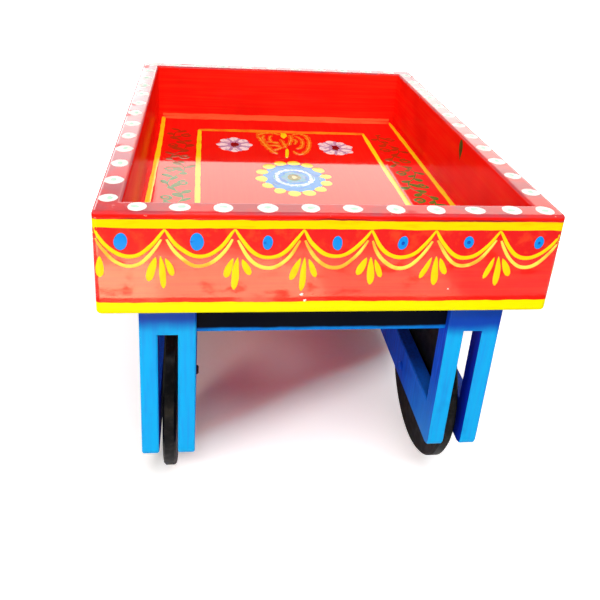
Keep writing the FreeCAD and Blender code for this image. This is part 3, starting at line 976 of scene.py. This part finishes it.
class CART_OT_festoons(bpy.types.Operator):
    """Paint the hanging swags, ovals and tassels on the four outer faces"""
    bl_idname = "tray_cart.festoons"
    bl_label = "Paint the Festoons"

    def execute(self, context):
        sizes = context.scene.tray_cart_sizes
        tree = festoon_tree(*paints("crimson_enamel", "yellow_enamel", "blue_enamel", "pale_enamel",
                                    "core_enamel"))
        for quarter, side in enumerate(("front", "right", "back", "left")):
            short = quarter % 2 == 0
            reach, half = (HALF_LENGTH, HALF_WIDTH) if short else (HALF_WIDTH, HALF_LENGTH)
            count = sizes.short_swags if short else sizes.long_swags
            turn = Matrix.Rotation(math.radians(90 * quarter), 4, "Z")
            lay(f"festoon_{side}", tree, turn @ Matrix.Translation((0, -reach, TRAY_FOOT)),
                span=2 * (half - MARGIN) / count, count=count, top=sizes.swag_top, upper_sag=sizes.swag_sag,
                proud=sizes.line_proud, seed=3 + 11 * quarter)
        return {"FINISHED"}


class CART_OT_rim_dots(bpy.types.Operator):
    """Dot the rim of the tray"""
    bl_idname = "tray_cart.rim_dots"
    bl_label = "Dot the Rim"

    def execute(self, context):
        sizes = context.scene.tray_cart_sizes
        tree = rim_dots_tree(*paints("white_enamel", "mint_enamel"))
        # the dots are bedded a little in the rim
        lay("rim_dots", tree, Matrix.Translation((0, 0, RIM - 0.02 * MM)),
            half_width=HALF_WIDTH - WALL / 2, half_length=HALF_LENGTH - WALL / 2,
            short_count=sizes.short_dots, long_count=sizes.long_dots, dot_length=sizes.dot_length)
        return {"FINISHED"}


class CART_OT_floor_lines(bpy.types.Operator):
    """Line the tray's floor with two yellow rectangles"""
    bl_idname = "tray_cart.floor_lines"
    bl_label = "Line the Floor"

    def execute(self, context):
        width = context.scene.tray_cart_sizes.line_width / MM
        brush = Brush(on_floor, 11)
        # of each rectangle: half its width and length, how broad its end lines are, and their paint
        for across, along, broad, slot in ((END_LINE, 112.6, 2.6, 2), (58.8, 84.5, 1.75, 1)):
            corners = [(-across, -along), (across, -along), (across, along), (-across, along)]
            for i, ((u0, v0), (u1, v1)) in enumerate(zip(corners, corners[1:] + corners[:1])):
                steps = int(math.hypot(u1 - u0, v1 - v0) / 5)
                lean = [brush.random.uniform(-0.35, 0.35) for _ in range(4)]
                short = i % 2 == 0
                path = []
                for k in range(steps + 1):
                    t = k / steps
                    sway = sum(a * math.sin((n + 1) * 2.1 * t + n) for n, a in enumerate(lean))
                    u, v = u0 + (u1 - u0) * t, v0 + (v1 - v0) * t
                    path.append((u, v + sway) if short else (u + sway, v))
                # the lines across the ends are broader, and thinly painted
                brush.stroke(path, width * (broad if short else 1.0), slot=slot if short else 0,
                             taper=(0.8, 0.7))
        brush.finish("floor_lines", *paints("varnished_yellow", "varnished_amber", "varnished_coral"))
        return {"FINISHED"}


class CART_OT_rosette(bpy.types.Operator):
    """Paint the blue rosette in the middle of the floor"""
    bl_idname = "tray_cart.rosette"
    bl_label = "Paint the Rosette"

    def execute(self, context):
        # the painter set it a little to the left
        middle = -1.6
        brush = Brush(on_floor, 21)
        brush.dab(middle, 0, 18.8, 21.4, height=0.14, slot=0, shake=0.012, sides=48)
        turns = [i * math.pi / 24 for i in range(48)]
        ring = [(middle + 10.9 * math.cos(turn), 12.2 * math.sin(turn)) for turn in turns]
        brush.stroke(ring, 4.6, 0.2, 1, closed=True, shake=0.36)
        brush.dab(middle, 0, 8.8, 9.8, height=0.18, slot=2, shake=0.06)
        # rings of short arcs: how far out, how many, half an arc's angle, its paint and its width
        arcs = ((7.4, 5, 0.3, 0, 2.2), (11.8, 4, 0.25, 2, 1.6), (15.6, 5, 0.2, 2, 1.2))
        for reach, count, half, slot, width in arcs:
            for i in range(count):
                centre = 2 * math.pi * i / count + brush.random.uniform(-0.15, 0.15)
                turns = [centre + k * half / 5 for k in range(-5, 6)]
                path = [(middle + reach * math.cos(turn), reach * 1.12 * math.sin(turn)) for turn in turns]
                brush.stroke(path, width * brush.random.uniform(0.75, 1.2), 0.24, slot, (0.4, 0.4), shake=0.3)
        brush.dab(middle, 0, 4.4, 5.2, height=0.28, slot=3, shake=0.05)
        brush.dab(middle + 0.3, 0.2, 2.2, 2.6, height=0.33, slot=4, shake=0.08)
        brush.finish("rosette_rings", *paints("varnished_blue", "varnished_white", "varnished_teal",
                                              "varnished_olive", "varnished_cream"))
        lay("rosette_petals", petal_ring_tree(*paints("varnished_yellow")), floor_place(middle), count=14,
            ring_width=19.4 * MM, ring_length=23.8 * MM, petal_length=3.9 * MM, petal_width=3.9 * MM,
            proud=0.045 * MM, seed=2)
        return {"FINISHED"}


class CART_OT_flowers(bpy.types.Operator):
    """Paint the four pale flowers on the floor"""
    bl_idname = "tray_cart.flowers"
    bl_label = "Paint the Flowers"

    def execute(self, context):
        # white petals, and thin lilac ones over the gaps: half the ring's and a petal's width and length,
        # how far they stand up, how far the ring is turned and the first seed
        rings = [(petal_ring_tree(paint), *sizes) for paint, sizes in zip(
            paints("petal_white", "varnished_lilac"),
            ((7.8, 9.8, 4.5, 3.7, 0.04, 0.0, 3), (7.2, 9.2, 4.3, 1.3, 0.06, 0.42, 9)))]
        brush = Brush(on_floor, 31)
        meshes = []
        for i, (u, v) in enumerate(((-35.4, 56.0), (33.0, 53.5), (35.4, -56.0), (-33.0, -53.5))):
            brush.dab(u, v, 10.2, 12.4, height=0.1, slot=1, shake=0.05, sides=30)
            for tree, across, along, long, wide, proud, turn, seed in rings:
                meshes.append(grown(
                    "flower", tree, floor_place(u, v), count=8, ring_width=across * MM,
                    ring_length=along * MM, petal_length=long * MM, petal_width=wide * MM,
                    proud=proud * MM, start=0.2 * i + turn, seed=seed + i))
            # five dark strokes from the tip to the heart, a fifth of a turn apart
            for turn in range(5):
                angle = turn * 1.257 + i
                tip = (u + 3.0 * math.cos(angle), v + 6.6 * math.sin(angle))
                brush.petal(bow(tip, ((u + tip[0]) / 2, v), (u, v), 7), 2.2, 0.3)
            brush.dab(u + 0.1, v - 0.2, 2.6, 5.0, height=0.34, shake=0.15)
        settle("floor_flowers", joined_mesh("floor_flowers", meshes))
        brush.finish("flower_hearts", *paints("varnished_maroon", "varnished_lilac"))
        return {"FINISHED"}


class CART_OT_vines(bpy.types.Operator):
    """Paint the green vines down both sides of the floor"""
    bl_idname = "tray_cart.vines"
    bl_label = "Paint the Vines"

    def execute(self, context):
        waves = context.scene.tray_cart_sizes.vine_waves
        tree = vine_tree(*paints("varnished_green"))
        # the middle of the red between the two rectangles of lines
        middle = 71.7
        for side, across, turn, seed in (("left", -middle, 0.0, 4), ("right", middle, math.pi, 9)):
            lay(f"floor_vine_{side}", tree, floor_place(across) @ Matrix.Rotation(turn, 4, "Z"),
                waves=waves, seed=seed)
        return {"FINISHED"}


# the scroll's strokes: width and points, across and along in millimetres from the middle of the floor
SCROLL_STROKES = (
    (2.7, ((6, 80), (11, 84), (15.6, 79), (16.6, 67), (14.2, 52.5), (9.8, 42), (6, 40), (3.6, 46))),
    (2.4, ((8, 78), (11, 73), (11.8, 64), (9.4, 54), (6, 51))),
    (3.6, ((-18.8, 79.5), (-13, 84), (-7.3, 84), (-2, 80.5))),
    (3.2, ((-18.6, 78), (-16.5, 67), (-13.8, 55), (-10.7, 45), (-8, 40))),
    (2.2, ((-13.9, 79), (-15.4, 72), (-14.6, 65))),
    (2.2, ((-8.5, 79), (-10.7, 72), (-9.8, 65.5))),
    (3.4, ((-13.5, 64), (-9.2, 64), (-5.3, 61))),
    (3.2, ((-11.7, 56), (-8, 57), (-4, 55))),
    (2.8, ((-9.4, 47), (-6.3, 50), (-3, 54))),
    (2.4, ((-2.8, 70), (-1.6, 60), (-1, 53))),
    (2.6, ((4.3, 80), (4.4, 71), (1.4, 58))),
    (2.0, ((6.5, 72), (7.4, 66), (5.6, 60))),
)


class CART_OT_scrolls(bpy.types.Operator):
    """Paint the orange lotus scrolls at both ends of the rosette"""
    bl_idname = "tray_cart.scrolls"
    bl_label = "Paint the Scrolls"

    def execute(self, context):
        # the strokes are laid a little closer to the scroll's root than they are listed
        root, share = 40, 0.945
        for name, way, seed in (("scroll_back", 1, 41), ("scroll_front", -1, 43)):
            brush = Brush(lambda u, v, lift, way=way: on_floor(u * way, v * way, lift), seed)
            for width, points in SCROLL_STROKES:
                path = [(u, root + (v - root) * share) for u, v in eased(points)]
                brush.stroke(path, width * 1.32, 0.2, taper=(0.5, 0.5), shake=0.25)
                brush.stroke(path[1:-1], width * 0.5, 0.32, slot=2, taper=(0.3, 0.3), shake=0.4)
            brush.dab(-0.1, 77, 2.3, 5.6, slot=1, shake=0.12)
            if way > 0:
                # a yellow stroke from the far scroll towards the rosette
                brush.stroke(bow((-0.4, 50), (-1.2, 42), (-2.5, 33)), 2.2, 0.17, slot=1)
            brush.finish(name, *paints("varnished_orange", "varnished_yellow", "varnished_gold"))
        return {"FINISHED"}


class CART_OT_marks(bpy.types.Operator):
    """Add the painter's slips: a green run on a wall and small white specks"""
    bl_idname = "tray_cart.marks"
    bl_label = "Add the Slips"

    def execute(self, context):
        inner = HALF_WIDTH - WALL
        wall = Brush(lambda u, v, lift: Vector((inner - lift * MM, u * MM, TRAY_FOOT + v * MM)), 51)
        wall.petal(bow((-26.6, 34.6), (-25.6, 40.0), (-25.0, 46.4)), 5.4, 0.12)
        wall.finish("green_run", *paints("run_green"))
        face = Brush(lambda u, v, lift: Vector((u * MM, -HALF_LENGTH - lift * MM, TRAY_FOOT + v * MM)), 52)
        for u, v, size in ((-13.2, 9.6, 0.85), (-11.6, 6.6, 0.7), (52.0, 12.0, 0.4)):
            face.dab(u, v, size, size * 0.8, height=0.09, shake=0.3, sides=10)
        face.finish("white_specks", *paints("white_enamel"))
        return {"FINISHED"}


def lamp(name, at, towards, size, power, tone="#ffffff", gloss_only=False):
    """A soft rectangular lamp that the camera doesn't see, and that may show in gloss alone."""
    light = bpy.data.lights.new(name, "AREA")
    light.shape = "RECTANGLE"
    light.size, light.size_y = size
    light.energy = power
    light.color = linear(tone)[:3]
    holder = bpy.data.objects.new(name, light)
    bpy.context.scene.collection.objects.link(holder)
    holder.location = at
    holder.rotation_euler = (Vector(towards) - Vector(at)).to_track_quat("-Z", "Y").to_euler()
    holder.visible_camera = False
    holder.visible_diffuse = not gloss_only


def stage_floor(name):
    """Matt white paper with a painted glow that the camera alone sees: white round the cart, shaping the
    edges of its shadow and reddening it under the tray.
    """
    material, tree = blank(name)
    white = tint(grain(tree, size=3.0, detail=3.0), "#f4f3f2", "#fbfbfa")
    paper = add(tree, "ShaderNodeBsdfPrincipled", {
        "Base Color": white, "Roughness": 0.9, "Specular IOR Level": 0.1})
    place = add(tree, "ShaderNodeTexCoord", out="Object")
    away = add(tree, "ShaderNodeVectorMath", {0: place}, "Value", operation="LENGTH")
    x, y, _ = parts(tree)
    # painted light: the glow brightens the paper away from the cart, sooner to its front right, left of the
    # wheels and before them
    ahead = x * 0.5 - y * 0.866
    lift = calc("MAXIMUM", ramp(ahead, 18 * MM, 60 * MM, 0.0, 0.5), ramp(away, 90 * MM, 160 * MM, 0.0, 0.3))
    lift = calc("MAXIMUM", lift, ramp(x, -70 * MM, -86 * MM, 0.0, 0.55))
    lift = calc("MAXIMUM", lift, ramp(y, -68 * MM, -95 * MM, 0.0, 0.55))
    # a faint painted red glow under the tray stands in for light thrown down by the lacquer; the paper is
    # white in the distance
    lift = lift + ramp(away, 62 * MM, 0.0, 0.035, 0.125) + ramp(away, 150 * MM, 500 * MM, 0.0, 0.8)
    painted_glow_colour = tint(ramp(lift, 0.035, 0.2), "#ff4a10", "#ffffff")
    seen = add(tree, "ShaderNodeLightPath", out="Is Camera Ray")
    glow = add(tree, "ShaderNodeEmission", {"Color": painted_glow_colour, "Strength": seen * lift})
    both = add(tree, "ShaderNodeAddShader", {0: paper, 1: glow})
    add(tree, "ShaderNodeOutputMaterial", {"Surface": both})
    return material


def soft_room(name):
    """White light all round, and a bright low window behind the cart that shows in gloss alone."""
    world = bpy.data.worlds.new(name)
    world.use_nodes = True
    tree = world.node_tree
    tree.nodes.clear()
    camera, through, gloss = (add(tree, "ShaderNodeLightPath", out=f"Is {ray} Ray")
                              for ray in ("Camera", "Transmission", "Glossy"))
    x, y, z = parts(tree, out="Generated")
    window = ramp(z, 0.36, 0.23, 0.0, 3.4)
    # it is taller and brighter on the left
    wing = ramp(z, 0.43, 0.35, 0.0, 4.0) * ramp(x, -0.066, -0.095)
    window = (window + wing) * ramp(y, 0.5, 0.8)
    strength = calc("MAXIMUM", camera, through) * 0.73 + 0.27 + window * gloss
    sky = add(tree, "ShaderNodeBackground", {"Color": (1, 1, 1, 1), "Strength": strength})
    add(tree, "ShaderNodeOutputWorld", {"Surface": sky})
    return world


class CART_OT_stage(bpy.types.Operator):
    """Set the pale floor, the soft lamps and the camera"""
    bl_idname = "tray_cart.stage"
    bl_label = "Set the Stage"

    def execute(self, context):
        scene = context.scene
        mesh = bpy.data.meshes.new("floor")
        mesh.from_pydata([(-6, -6, 0), (6, -6, 0), (6, 6, 0), (-6, 6, 0)], [], [(0, 1, 2, 3)])
        mesh.materials.append(stage_floor("white_paper"))
        floor = bpy.data.objects.new("floor", mesh)
        scene.collection.objects.link(floor)

        scene.world = soft_room("soft_room")
        scene.view_settings.view_transform = "Standard"

        lamp("overhead_softbox", (0.1, -0.58, 1.03), (0, 0, 0.08), (0.6, 0.5), 9.0)
        lamp("left_softbox", (-0.78, -0.48, 0.36), (0, -0.03, 0.05), (0.3, 0.3), 3.4, "#fff3e2")
        lamp("back_softbox", (0.18, 0.5, 0.444), (0.07, 0, 0.144), (0.64, 0.34), 1.95, "#fff4e6",
             gloss_only=True)
        # low lamps before the cart that warm the gloss of its front: left end, right end and power
        cards = ((-0.5, -0.09, 1.85), (-0.09, 0.04, 0.38), (0.04, 0.15, 0.12))
        for i, (left, right, power) in enumerate(cards):
            middle = (left + right) / 2
            lamp(f"front_card_{i}", (middle, -0.345, 0.004), (middle, -0.344, 1.0), (right - left, 0.1),
                 power, "#ffe2ac", gloss_only=True)

        camera = bpy.data.cameras.new("camera")
        camera.lens = 41.114
        camera.sensor_width = 36.0
        camera.shift_x, camera.shift_y = 0.01667, -0.2
        camera.clip_start = 0.01
        holder = bpy.data.objects.new("camera", camera)
        scene.collection.objects.link(holder)
        holder.location = (-0.05629, -0.37795, 0.29233)
        holder.rotation_euler = tuple(math.radians(a) for a in (67.336, -3.623, -6.373))
        scene.camera = holder
        return {"FINISHED"}


class CART_PT_panel(bpy.types.Panel):
    """The steps of painting the cart, in order"""
    bl_idname = "CART_PT_panel"
    bl_label = "Tray Cart"
    bl_space_type = "VIEW_3D"
    bl_region_type = "UI"
    bl_category = "Tray Cart"

    def draw(self, context):
        for operator in OPERATORS:
            self.layout.operator(operator.bl_idname)


OPERATORS = (CART_OT_lacquer, CART_OT_festoons, CART_OT_rim_dots, CART_OT_floor_lines, CART_OT_rosette,
             CART_OT_flowers, CART_OT_vines, CART_OT_scrolls, CART_OT_marks, CART_OT_stage)
CLASSES = (CartColours, CartSizes, *OPERATORS, CART_PT_panel)


def register():
    """Add the classes, and the sizes and colours on the scene."""
    for cls in CLASSES:
        bpy.utils.register_class(cls)
    bpy.types.Scene.tray_cart_colours = PointerProperty(type=CartColours)
    bpy.types.Scene.tray_cart_sizes = PointerProperty(type=CartSizes)


def unregister():
    """Take them away again."""
    del bpy.types.Scene.tray_cart_colours
    del bpy.types.Scene.tray_cart_sizes
    for cls in reversed(CLASSES):
        bpy.utils.unregister_class(cls)


def main():
    """Paint the cart and set the stage."""
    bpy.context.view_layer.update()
    register()
    for operator in OPERATORS:
        group, name = operator.bl_idname.split(".")
        getattr(getattr(bpy.ops, group), name)()
    bpy.context.view_layer.update()


if __name__ == "__main__":
    main()
